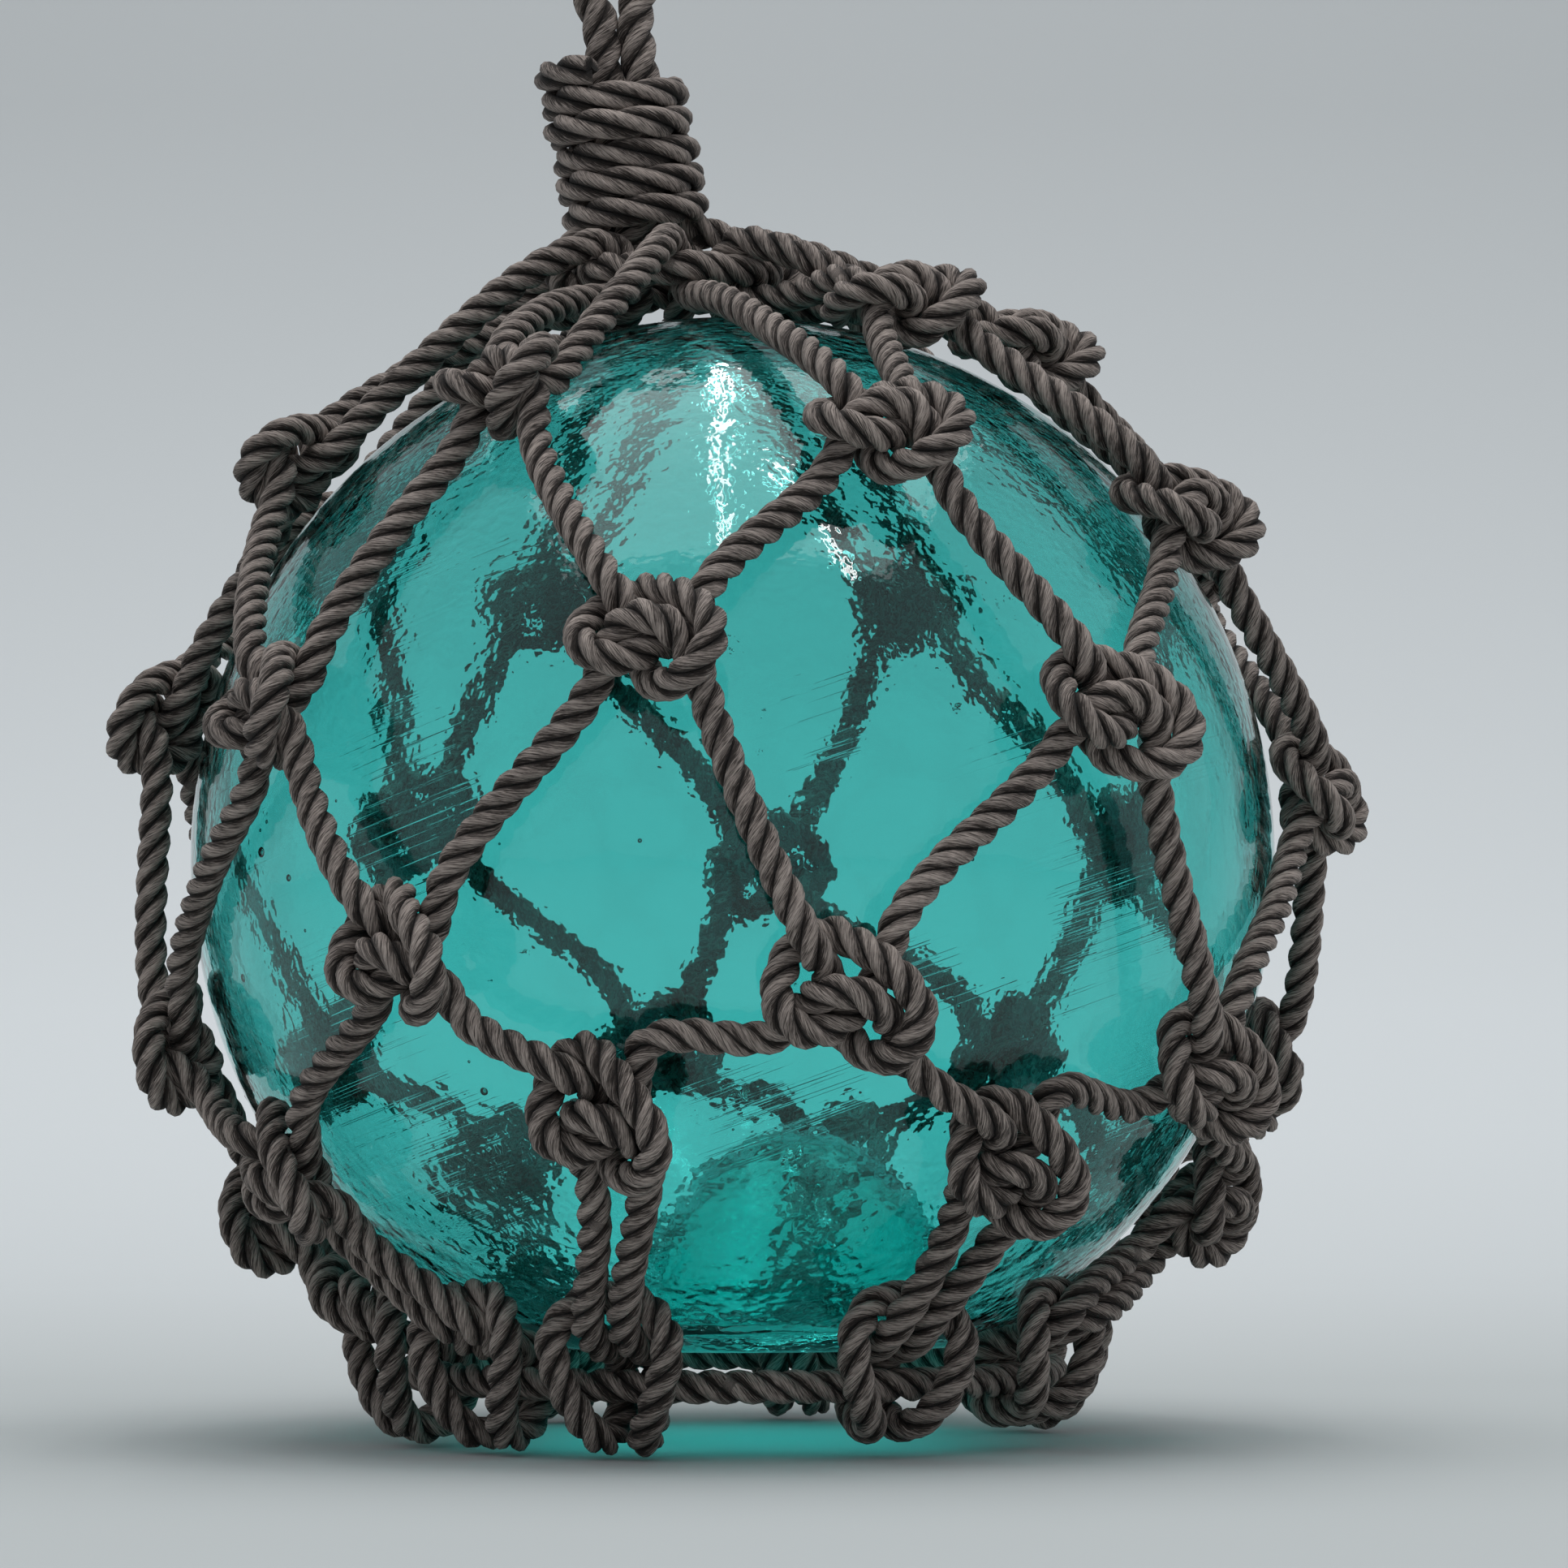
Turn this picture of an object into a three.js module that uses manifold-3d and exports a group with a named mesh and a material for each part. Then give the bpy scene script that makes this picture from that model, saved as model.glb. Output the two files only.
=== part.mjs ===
// Glass float ball: a blown ball in a knotted net of laid rope, standing on the net's foot,
// with the gathered ends whipped at the neck and a rope eye to hang it by.
// Everything is worked out from the ball's centre, in millimetres, and set on the floor at the end.
import * as THREE from 'three';
import { mergeVertices } from 'three/addons/utils/BufferGeometryUtils.js';
import Module from 'manifold-3d';

const wasm = await Module();
wasm.setup();

// Driving dimensions, in millimetres and degrees
const ballRadius = 150;
const ballSegments = 24;
const ballRings = 12;
const ropeDiameter = 9;
const gap = 0.3; // between pieces that touch
const baseDrop = 132.8; // the glass ball's flat underside, below its centre
const floorDrop = 160.5; // the floor, below the ball's centre
const sectionRadius = 0.5 * ropeDiameter; // to the corners of the four-sided section
const clearOfGlass = 0.8; // how far the lowest ropes' middles lie off touching the ball
const kickUp = { x: 18, y: 4, mouthRadius: 42, height: 54 };
const ring = { radius: 88, drop: 141.6, segments: 24 };
const neck = { foot: [-25, 2, 166], head: [-32, 2, 228], coreRadius: 12, coreStart: 151 };
const gathered = { inset: 3.5, from: -3, to: 4, spread: 9 }; // where each rope goes up into the neck
const whipping = { turns: 5.6, start: 176, end: 220, stepsPerTurn: 9 };
const eye = { start: 222.5, legSpread: 6.4, width: 40, height: 84, flat: 5 };
const knotWidth = 0.93; // of the knot drawn below
const knotHeight = 0.97;
const knotTurn = 12; // how far each knot's right side is turned up off the glass
const knotLift = 0.4; // in rope diameters, so that its left side still lies on the glass
const drapeStep = 3; // rope diameters between the points of a taut rope

// Longitude and latitude of each row's knots, the front of the ball being at longitude 0
const knotRows = [
  [[-78, 40], [-31, 46], [19, 39], [63, 32], [110, 31], [158, 31], [205, 31], [242, 35]],
  [[-90, 13], [-48, 11], [-7, 16], [38, 10], [85, 5], [133, 2], [177, 1], [218, 5]],
  [[-80, -20], [-31, -12], [11, -16], [56, -23], [100, -22], [148, -20], [190, -20], [235, -22]],
  [[-95, -38], [-57, -33], [-12, -27], [31, -32], [78, -36], [122, -35], [168, -33], [213, -34]],
];
const crownKnots = [[42, 64], [75, 58]];
// Where each cow hitch sits on the ring, and how far its foot stays off the floor
const hitches = [[-70, 0], [-43, 0], [-18, 0], [26, 3], [58, 6], [110, 0], [168, 0], [215, 0]];

// One knot, in rope diameters: x to the right and y up along the glass, z off it.
// The cord from the knots above makes an overhand turn through the bight of the cord that goes down.
const turn = [
  [-1.3, 2.0, 1.4], [-0.7, 0.7, 0.2], [-0.6, -0.6, 0.0], [0.1, -1.6, 0.4],
  [1.9, -1.2, 1.6], [2.3, 0.0, 1.2], [1.6, 1.3, 1.3], [-0.5, 2.0, 0.35], [-1.8, 1.9, 0.0],
  [-2.5, 1.0, 0.9], [-1.95, -0.3, 1.4], [-0.1, -0.6, 1.1], [0.9, 0.0, 0.0], [1.25, 1.0, 0.0],
  [1.1, 2.5, 0.1],
];
const bight = [
  [-2.1, -1.4, 0.0], [-1.6, -0.3, 0.1], [-0.95, 0.8, 1.4], [0.3, 1.0, 1.6],
  [1.25, 0.1, 1.3], [1.4, -1.3, 0.0], [1.75, -2.4, 0.0],
];
// The lowest row's bights have both their legs close together under the knot
const footBight = [
  [-0.9, -3.0, 0.3], [-1.45, -1.2, 0.1], [-1.6, -0.3, 0.1], [-0.95, 0.8, 1.4], [0.3, 1.0, 1.6],
  [1.25, 0.1, 1.3], [1.2, -1.3, 0.0], [0.6, -3.0, 0.3],
];
// One cow hitch on the ring, in rope diameters: along the ring, outwards and upwards from its centre.
// The legs lean outwards with the glass, and their bight passes behind them, against the ball.
const cowHitch = [
  [-0.5, 2.6, 2.4], [-0.55, 0.9, 1.15], [-0.55, -0.4, 1.1], [-0.5, -1.15, 0.1], [-0.5, -0.9, -0.8],
  [-0.55, -0.2, -1.75], [-0.65, 0.7, -1.75], [-1.3, 1.4, -0.4], [-1.8, 1.7, 1.4], [-1.0, 1.5, 2.8],
  [1.0, 1.5, 2.8], [1.8, 1.7, 1.4], [1.3, 1.4, -0.4], [0.65, 0.7, -1.75], [0.55, -0.2, -1.75],
  [0.5, -0.9, -0.8], [0.5, -1.15, 0.1], [0.55, -0.4, 1.1], [0.55, 0.9, 1.15], [0.5, 2.6, 2.4],
];

// Materials

const material = (color, roughness) => new THREE.MeshStandardMaterial({ color, roughness, metalness: 0 });
const glass = new THREE.MeshStandardMaterial({
  color: 0x2f9f98, roughness: 0.08, metalness: 0, transparent: true, opacity: 0.45,
});
const netRope = material(0x5d5049, 0.85);
const ringRope = material(0x564a44, 0.85);
const whippingRope = material(0x61544d, 0.85);
const loopRope = material(0x5a4e47, 0.85);

// Solids

const radians = THREE.MathUtils.degToRad;

function solidOf(geometry) {
  geometry.deleteAttribute('normal');
  geometry.deleteAttribute('uv');
  const merged = mergeVertices(geometry, 1e-4);
  const vertProperties = new Float32Array(merged.attributes.position.array);
  const triVerts = new Uint32Array(merged.index.array);
  const mesh = new wasm.Mesh({ numProp: 3, vertProperties, triVerts, tolerance: 0.01 });
  mesh.merge();
  return new wasm.Manifold(mesh);
}

function meshOf(name, solid, look) {
  const { vertProperties, triVerts } = solid.getMesh();
  const geometry = new THREE.BufferGeometry();
  geometry.setAttribute('position', new THREE.BufferAttribute(vertProperties, 3));
  geometry.setIndex(new THREE.BufferAttribute(triVerts, 1));
  geometry.computeVertexNormals();
  const mesh = new THREE.Mesh(geometry, look);
  mesh.name = name;
  return mesh;
}

function turned(profile, segments) {
  return new THREE.LatheGeometry(profile.map(([r, z]) => new THREE.Vector2(r, z)), segments)
    .rotateX(Math.PI / 2);
}

function section(radius, sides) {
  const corners = [];
  for (let i = 0; i < sides; i += 1) {
    const angle = (i / sides) * 2 * Math.PI;
    corners.push(new THREE.Vector2(radius * Math.cos(angle), radius * Math.sin(angle)));
  }
  return new THREE.Shape(corners);
}

// A rope's line through some points, with one section of the rope at each of them
class RopeLine extends THREE.CatmullRomCurve3 {
  getPointAt(share) { return this.getPoint(share); }

  // On a closed line the direction is measured across the closing point too
  getTangentAt(share) {
    if (!this.closed) return this.getTangent(share);
    const step = 1e-4;
    return this.getPoint((share + step) % 1).sub(this.getPoint((share + 1 - step) % 1)).normalize();
  }
}

// A closed rope has no end faces: the first of the geometry's groups, which holds them, is left out
function rope(points, closed = false, sides = 4, radius = sectionRadius) {
  const extrudePath = new RopeLine(points, closed, 'centripetal');
  const steps = closed ? points.length : points.length - 1;
  const geometry = new THREE.ExtrudeGeometry(section(radius, sides), { steps, extrudePath });
  if (closed) {
    const { start, count } = geometry.groups[1];
    const walls = geometry.attributes.position.array.slice(3 * start, 3 * (start + count));
    return solidOf(new THREE.BufferGeometry().setAttribute('position', new THREE.BufferAttribute(walls, 3)));
  }
  return solidOf(geometry);
}

function hoop(radius, thickness, sides, segments, x, y, z) {
  return solidOf(new THREE.TorusGeometry(radius, thickness, sides, segments).translate(x, y, z));
}

const join = (solids) => solids.reduce((whole, solid) => whole.add(solid));

// Places on the ball

const east = (longitude) => new THREE.Vector3(Math.cos(longitude), Math.sin(longitude), 0);
const outward = (longitude, latitude) => new THREE.Vector3(
  Math.cos(latitude) * Math.sin(longitude),
  -Math.cos(latitude) * Math.cos(longitude),
  Math.sin(latitude),
);
const lowest = ballRadius + gap + sectionRadius + clearOfGlass;

// A point of a knot, given in rope diameters, its right side turned up off the glass
function atKnot([longitudeDeg, latitudeDeg], [drawnX, drawnY, z]) {
  const x = drawnX * knotWidth;
  const y = drawnY * knotHeight;
  const longitude = radians(longitudeDeg);
  const latitude = radians(latitudeDeg);
  const lean = radians(knotTurn);
  const across = (x * Math.cos(lean) - z * Math.sin(lean)) * ropeDiameter;
  const off = Math.max(0, knotLift + x * Math.sin(lean) + z * Math.cos(lean)) * ropeDiameter;
  const normal = outward(longitude, latitude);
  const right = east(longitude);
  const up = new THREE.Vector3().crossVectors(normal, right);
  return normal.clone()
    .addScaledVector(right, across / ballRadius)
    .addScaledVector(up, (y * ropeDiameter) / ballRadius)
    .normalize()
    .multiplyScalar(lowest + off);
}

// Points of a taut rope between two others, pushed out where the ball is in the way
function drape(from, to) {
  const count = Math.max(0, Math.round(from.distanceTo(to) / (drapeStep * ropeDiameter)) - 1);
  const points = [];
  for (let i = 1; i <= count; i += 1) {
    const point = from.clone().lerp(to, i / (count + 1));
    if (point.length() < lowest) point.setLength(lowest);
    points.push(point);
  }
  return points;
}

// The glass

function makeGlass() {
  const profile = [[0, -baseDrop]];
  const flatEdge = Math.asin(-baseDrop / ballRadius);
  for (let i = 0; i <= ballRings; i += 1) {
    const latitude = flatEdge + ((Math.PI / 2 - flatEdge) * i) / ballRings;
    profile.push([i === ballRings ? 0 : ballRadius * Math.cos(latitude), ballRadius * Math.sin(latitude)]);
  }
  const { x, y, mouthRadius, height } = kickUp;
  const dome = [[0, -2], [mouthRadius, -2], [mouthRadius, 0]];
  for (let i = 1; i <= 5; i += 1) {
    const angle = (i / 5) * (Math.PI / 2);
    dome.push([i === 5 ? 0 : mouthRadius * Math.cos(angle) ** 1.4, height * Math.sin(angle)]);
  }
  const ball = solidOf(turned(profile, ballSegments));
  return ball.subtract(solidOf(turned(dome, 16).translate(x, y, -baseDrop)));
}

// The net

const turnAt = (knot) => turn.map((point) => atKnot(knot, point));
const bightAt = (knot, shape = bight) => shape.map((point) => atKnot(knot, point));

function hitchAt([azimuthDeg, lift]) {
  const azimuth = radians(azimuthDeg);
  const along = east(azimuth);
  const out = outward(azimuth, 0);
  return cowHitch.map(([t, o, u]) => {
    const raised = u < -1.1 ? lift : 0;
    return new THREE.Vector3(0, 0, -ring.drop + u * ropeDiameter + raised)
      .addScaledVector(out, ring.radius + o * ropeDiameter)
      .addScaledVector(along, t * ropeDiameter);
  });
}

// Strings stretches of rope together, with a point or two of taut rope between one and the next
function strung(stretches, closed) {
  const points = [];
  stretches.forEach((stretch, i) => {
    points.push(...stretch);
    const next = stretches[i + 1] ?? (closed ? stretches[0] : null);
    if (next) points.push(...drape(stretch.at(-1), next[0]));
  });
  return points;
}

// Two points where a rope goes up into the whipping, on the side that it comes from
function intoNeck([longitude], side) {
  const [x, y, z] = neck.foot;
  const { inset, from, to, spread } = gathered;
  const out = outward(radians(longitude + spread * side), 0).multiplyScalar(neck.coreRadius - inset);
  return [new THREE.Vector3(x, y, z + from).add(out), new THREE.Vector3(x, y, z + to).add(out)];
}

function neckCore() {
  const line = [neckAt(neck.coreStart), neckAt(whipping.start), neckAt(eye.start - 2)];
  return rope(line, false, 10, neck.coreRadius);
}

function makeNet(fatBall, fatRing) {
  const [upper, second, third, lowestRow] = knotRows;
  const [crownLeft, crownRight] = crownKnots;
  const parts = [];

  // From the neck, through an upper knot and back up
  for (const knot of [upper[0], upper[1], upper[5], upper[6], upper[7], crownLeft, crownRight]) {
    parts.push(rope(strung([intoNeck(knot, -1).reverse(), turnAt(knot), intoNeck(knot, 1)], false)));
  }
  // Three upper knots hang under the two crown knots
  parts.push(rope(strung([
    intoNeck(upper[2], -1).reverse(), turnAt(upper[2]), bightAt(crownLeft), turnAt(upper[3]),
    bightAt(crownRight), turnAt(upper[4]), intoNeck(upper[4], 1),
  ], false)));

  // From each row to the one below it, all the way round
  const rounds = [[upper, second, 1], [second, third, 0], [third, lowestRow, 1]];
  for (const [above, below, shift] of rounds) {
    const stretches = above.flatMap((knot, i) => [bightAt(knot), turnAt(below[(i + shift) % 8])]);
    parts.push(rope(strung(stretches, true), true));
  }

  // The foot
  lowestRow.forEach((knot, i) => {
    parts.push(rope(strung([bightAt(knot, footBight), hitchAt(hitches[i]).reverse()], true), true));
  });

  const floorBlock = new THREE.BoxGeometry(4 * ballRadius, 4 * ballRadius, 40)
    .translate(0, 0, -floorDrop - 20);
  const whole = join([neckCore(), ...parts]);
  const clear = whole.subtract(fatBall).subtract(fatRing).subtract(solidOf(floorBlock));
  // A cut can leave a crumb behind: the net is the largest body
  return clear.simplify(0.1).decompose().reduce((a, b) => (b.volume() > a.volume() ? b : a));
}

function makeRing(thickness) {
  return hoop(ring.radius, thickness, 5, ring.segments, 0, 0, -ring.drop);
}

// The neck

function neckAt(z) {
  const [footX, footY, footZ] = neck.foot;
  const [headX, headY, headZ] = neck.head;
  const share = (z - footZ) / (headZ - footZ);
  return new THREE.Vector3(footX + (headX - footX) * share, footY + (headY - footY) * share, z);
}

function makeWhipping() {
  const { turns, start, end, stepsPerTurn } = whipping;
  const radius = neck.coreRadius + sectionRadius + 4 * gap; // a little more than the faceted core needs
  const count = Math.round(turns * stepsPerTurn);
  const points = [];
  for (let i = 0; i <= count; i += 1) {
    const angle = (i / stepsPerTurn) * 2 * Math.PI;
    const middle = neckAt(start + ((end - start) * i) / count);
    points.push(middle.add(new THREE.Vector3(Math.cos(angle), Math.sin(angle), 0).multiplyScalar(radius)));
  }
  return rope(points);
}

function makeLoop() {
  const { start, legSpread, width, height, flat } = eye;
  const foot = neckAt(start);
  const top = neckAt(start + height);
  const half = width / 2;
  const outline = [
    [-legSpread, 0], [-legSpread * 1.2, 12], [-half * 0.7, 30], [-half, 52], [-half * 0.8, 73], [-flat, height],
    [flat, height], [half * 0.8, 73], [half, 52], [half * 0.7, 30], [legSpread * 1.2, 12], [legSpread, 0],
  ];
  const lean = top.clone().sub(foot).divideScalar(height);
  const points = outline.map(([x, up]) => foot.clone().addScaledVector(lean, up)
    .add(new THREE.Vector3(x, 0, 0)));
  return rope(points, false, 6, 0.54 * ropeDiameter);
}

const ball = makeGlass();
const fatBall = solidOf(new THREE.SphereGeometry(ballRadius + gap, ballSegments, 16).rotateX(Math.PI / 2));
const net = makeNet(fatBall, makeRing(sectionRadius + gap));

const float = new THREE.Group();
float.add(
  meshOf('glass_ball', ball, glass),
  meshOf('rope_net', net, netRope),
  meshOf('base_ring', makeRing(sectionRadius), ringRope),
  meshOf('neck_whipping', makeWhipping(), whippingRope),
  meshOf('hanging_loop', makeLoop(), loopRope),
);

// The origin is on the floor, in the middle of the whole object's box
const box = new THREE.Box3().setFromObject(float);
const middle = box.getCenter(new THREE.Vector3());
float.position.set(-middle.x, -middle.y, -box.min.z);

export default float;
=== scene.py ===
import math

import bmesh
import bpy
import numpy as np
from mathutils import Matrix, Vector, kdtree


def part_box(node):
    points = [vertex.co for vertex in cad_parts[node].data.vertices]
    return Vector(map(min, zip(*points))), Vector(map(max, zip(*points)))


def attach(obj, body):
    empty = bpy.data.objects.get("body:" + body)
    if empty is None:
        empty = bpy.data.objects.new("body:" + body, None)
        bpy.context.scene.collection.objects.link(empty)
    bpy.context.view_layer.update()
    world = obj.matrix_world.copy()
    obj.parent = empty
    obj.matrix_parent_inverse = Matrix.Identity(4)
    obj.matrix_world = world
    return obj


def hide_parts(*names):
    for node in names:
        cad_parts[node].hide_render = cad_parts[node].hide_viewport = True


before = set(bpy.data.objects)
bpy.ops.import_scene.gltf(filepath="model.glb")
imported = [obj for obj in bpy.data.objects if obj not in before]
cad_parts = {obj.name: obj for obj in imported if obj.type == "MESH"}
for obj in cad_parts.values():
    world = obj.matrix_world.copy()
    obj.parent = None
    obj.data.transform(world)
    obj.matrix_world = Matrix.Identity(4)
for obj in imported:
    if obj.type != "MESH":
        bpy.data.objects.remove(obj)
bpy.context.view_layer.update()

# Where things are, in metres: everything below is laid out round the ball's centre
ball = {
    "radius": 0.150,
    "wall": 0.0045,
    "baseDrop": 0.1328,  # the flat underside, below the centre
    "floorDrop": 0.1605,
    "rings": 90,
    "segments": 176,
    "baseWall": 1.6,  # how much thicker the base is than the wall
    "baseSag": 0.0012,  # the base is a little lower at its rim
}
ropeSize = {
    "diameter": 0.009,
    "lay": 0.0225,  # length of one turn of the strands
    "strands": 3,
    "strandRadius": 0.00214,
    "strandOffset": 0.00244,
    "sides": 9,
    "step": 0.0018,
    "fibreLay": 0.021,  # length of one turn of the yarns in a strand
    "swellScale": 110.0,
    "ringPoints": 96,
    "uneven": 0.22,  # how much a strand's thickness comes and goes
}
knotSize = {
    "wide": 0.80,  # of the knot drawn below
    "high": 0.88,
    "vary": 0.07,
    "twist": 8,  # degrees, either way
    "turnUp": 12,  # degrees that each knot's right side stands off the glass
    "lift": 0.3,
    "reach": 0.026,  # how far from its middle a knot's rope is still the knot's
}
settling = {
    "bead": 0.0040,  # spacing of the points that the ropes are settled with
    "rounds": 220,
    "search": 10,  # rounds between two searches for ropes that touch
    "near": 1.35,  # of the diameter: how close two points are worth watching
    "apart": 4,  # points of one rope at least this many beads apart can touch
    "passes": 3,  # of pushing apart in a round
    "crowding": 0.6,  # how far the pushes on one point share
    "stretch": 0.25,  # how much of a wrong length is mended at a time
    "touch": 0.965,  # of the rope's diameter, between ropes pressed together
    "bend": 0.13,
    "hold": 0.006,  # pull back to where the knots were drawn
    "runHold": 0.001,
    "knotPull": 0.90,  # of the drawn length, once the knots are pulled tight
    "runPull": 0.985,
    "hitchDrop": 0.124,  # below this the ropes are those of the hitches round the ring
    "hitchHold": 0.09,
}
ring = {"radius": 0.088, "drop": 0.1416, "beads": 132}
drapeSpacing = 3  # rope diameters
curveSteps = 16  # between two points of a drawn rope
gather = {"x": -0.016, "y": -0.002, "z": 0.1615, "radius": 0.027, "points": 16}
sling = {
    "azimuths": (-76, 104),  # where it passes under the gathering line
    "height": 0.178, "inner": 0.003, "outer": 0.008, "rise": 0.012,
    "under": [(0.0, -1.1, 0.3), (0.0, 0.0, -1.1), (0.0, 1.1, 0.2)],
}
neck = {"foot": (-0.025, 0.002, 0.166), "head": (-0.032, 0.002, 0.228), "coreRadius": 0.0125}

scene = bpy.context.scene
low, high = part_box("glass_ball")
centre = Vector(((low.x + high.x) / 2, (low.y + high.y) / 2, high.z - ball["radius"]))

# Longitude and latitude of each row's knots, the front of the ball being at longitude 0
knotRows = [
    [(-78, 40), (-31, 46), (19, 39), (63, 32), (110, 31), (158, 31), (205, 31), (242, 35)],
    [(-90, 13), (-48, 11), (-7, 16), (38, 10), (85, 5), (133, 2), (177, 1), (218, 5)],
    [(-80, -20), (-31, -12), (11, -16), (56, -23), (100, -22), (148, -20), (190, -20), (235, -22)],
    [(-95, -38), (-57, -33), (-12, -27), (31, -32), (78, -36), (122, -35), (168, -33), (213, -34)],
]
# Knots that were pulled narrower, wider or longer than the others
odd = {
    (-31, 46): (0.80, 0.90), (-48, 11): (0.80, 1.05), (-31, -12): (0.88, 1.0), (38, 10): (1.08, 1.0),
    (11, -16): (1.05, 1.08), (-12, -27): (0.80, 1.18), (31, -32): (0.78, 1.18), (-78, 40): (0.9, 0.95),
}
crownKnots = [(42, 64), (75, 58)]
# azimuth, and how far the hitch's lowest part is off the floor in millimetres
hitches = [(-70, 0), (-43, 0), (-18, 0), (26, 3), (58, 6), (110, 0), (168, 0), (215, 0)]

# One knot, in rope diameters: x to the right and y up along the glass, z off it
turn = [
    (-1.3, 2.0, 1.4), (-0.7, 0.7, 0.2), (-0.6, -0.6, 0.0), (0.1, -1.6, 0.4),
    (1.9, -1.2, 1.6), (2.3, 0.0, 1.2), (1.6, 1.3, 1.3), (-0.5, 2.0, 0.35), (-1.8, 1.9, 0.0),
    (-2.5, 1.0, 0.9), (-1.95, -0.3, 1.4), (-0.1, -0.6, 1.1), (0.9, 0.0, 0.0), (1.25, 1.0, 0.0),
    (1.1, 2.5, 0.1),
]
bight = [
    (-2.1, -1.4, 0.0), (-1.6, -0.3, 0.1), (-0.95, 0.8, 1.4), (0.3, 1.0, 1.6),
    (1.25, 0.1, 1.3), (1.4, -1.3, 0.0), (1.75, -2.4, 0.0),
]
footBight = [
    (-0.9, -3.0, 0.3), (-1.45, -1.2, 0.1), (-1.6, -0.3, 0.1), (-0.95, 0.8, 1.4), (0.3, 1.0, 1.6),
    (1.25, 0.1, 1.3), (1.2, -1.3, 0.0), (0.6, -3.0, 0.3),
]
# One cow hitch on the ring: along the ring, outwards and upwards from its centre
cowHitch = [
    (-0.5, 2.6, 2.4), (-0.55, 0.9, 1.15), (-0.55, -0.4, 1.1), (-0.5, -1.15, 0.1), (-0.5, -0.9, -0.8),
    (-0.55, -0.2, -1.5), (-0.65, 0.7, -1.5), (-1.3, 1.4, -0.4), (-1.8, 1.7, 1.4), (-1.0, 1.5, 2.8),
    (1.0, 1.5, 2.8), (1.8, 1.7, 1.4), (1.3, 1.4, -0.4), (0.65, 0.7, -1.5), (0.55, -0.2, -1.5),
    (0.5, -0.9, -0.8), (0.5, -1.15, 0.1), (0.55, -0.4, 1.1), (0.55, 0.9, 1.15), (0.5, 2.6, 2.4),
]
lowPart = -1.1  # parts of a hitch lower than this are lifted with it
# A bight of the net hooked over the gathering line, in the same directions
hook = [
    (-0.6, 1.6, 0.6), (-0.55, 0.7, 1.0), (-0.5, -0.3, 1.05), (-0.2, -1.1, 0.3), (0.2, -1.05, -0.5),
    (0.5, -0.3, -1.05), (0.55, 0.7, -1.0), (0.6, 1.6, -0.9),
]


# Places on the ball

def east(longitude):
    return np.array([math.cos(longitude), math.sin(longitude), 0.0])


def outward(longitude, latitude=0.0):
    flat = math.cos(latitude)
    return np.array([flat * math.sin(longitude), -flat * math.cos(longitude), math.sin(latitude)])


def unit(v):
    return v / np.linalg.norm(v)


size = ropeSize["diameter"]
lowest = ball["radius"] + size / 2


def atKnot(knot, shape):
    longitude, latitude = math.radians(knot[0]), math.radians(knot[1])
    lean = math.radians(knotSize["turnUp"])
    normal, right = outward(longitude, latitude), east(longitude)
    up = np.cross(normal, right)
    own = np.random.default_rng(abs(knot[0] * 31 + knot[1]))  # the same for both ropes of a knot
    wide, high = odd.get(knot, 1 + knotSize["vary"] * own.uniform(-1, 1, 2))
    wide, high = wide * knotSize["wide"], high * knotSize["high"]
    twist = math.radians(knotSize["twist"]) * own.uniform(-1, 1)
    points = []
    for x, y, z in shape:
        x, y = x * math.cos(twist) - y * math.sin(twist), x * math.sin(twist) + y * math.cos(twist)
        x, y = x * wide, y * high
        across = (x * math.cos(lean) - z * math.sin(lean)) * size
        off = max(0.0, knotSize["lift"] + x * math.sin(lean) + z * math.cos(lean)) * size
        way = unit(normal + right * across / ball["radius"] + up * y * size / ball["radius"])
        points.append(way * (lowest + off))
    return points


def aboutRing(azimuth, middle, radius, shape, lift=0.0):
    # points about a ring of rope, given along it, outwards and upwards in rope diameters
    angle = math.radians(azimuth)
    along, out, up = east(angle), outward(angle), np.array([0.0, 0.0, 1.0])
    points = []
    for t, o, u in shape:
        raised = lift if u < lowPart else 0.0
        point = middle + out * (radius + o * size) + along * t * size
        points.append(point + up * (u * size + raised))
    return points


def drape(start, end):
    # points of a taut rope between two others, pushed out where the ball is in the way
    count = max(0, round(np.linalg.norm(end - start) / (drapeSpacing * size)) - 1)
    points = []
    for i in range(1, count + 1):
        point = start + (end - start) * i / (count + 1)
        reach = np.linalg.norm(point)
        points.append(point * max(1.0, lowest / reach))
    return points


def strung(stretches, closed):
    points = []
    for i, stretch in enumerate(stretches):
        points += stretch
        if closed or i + 1 < len(stretches):
            points += drape(stretch[-1], stretches[(i + 1) % len(stretches)][0])
    return points


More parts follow.
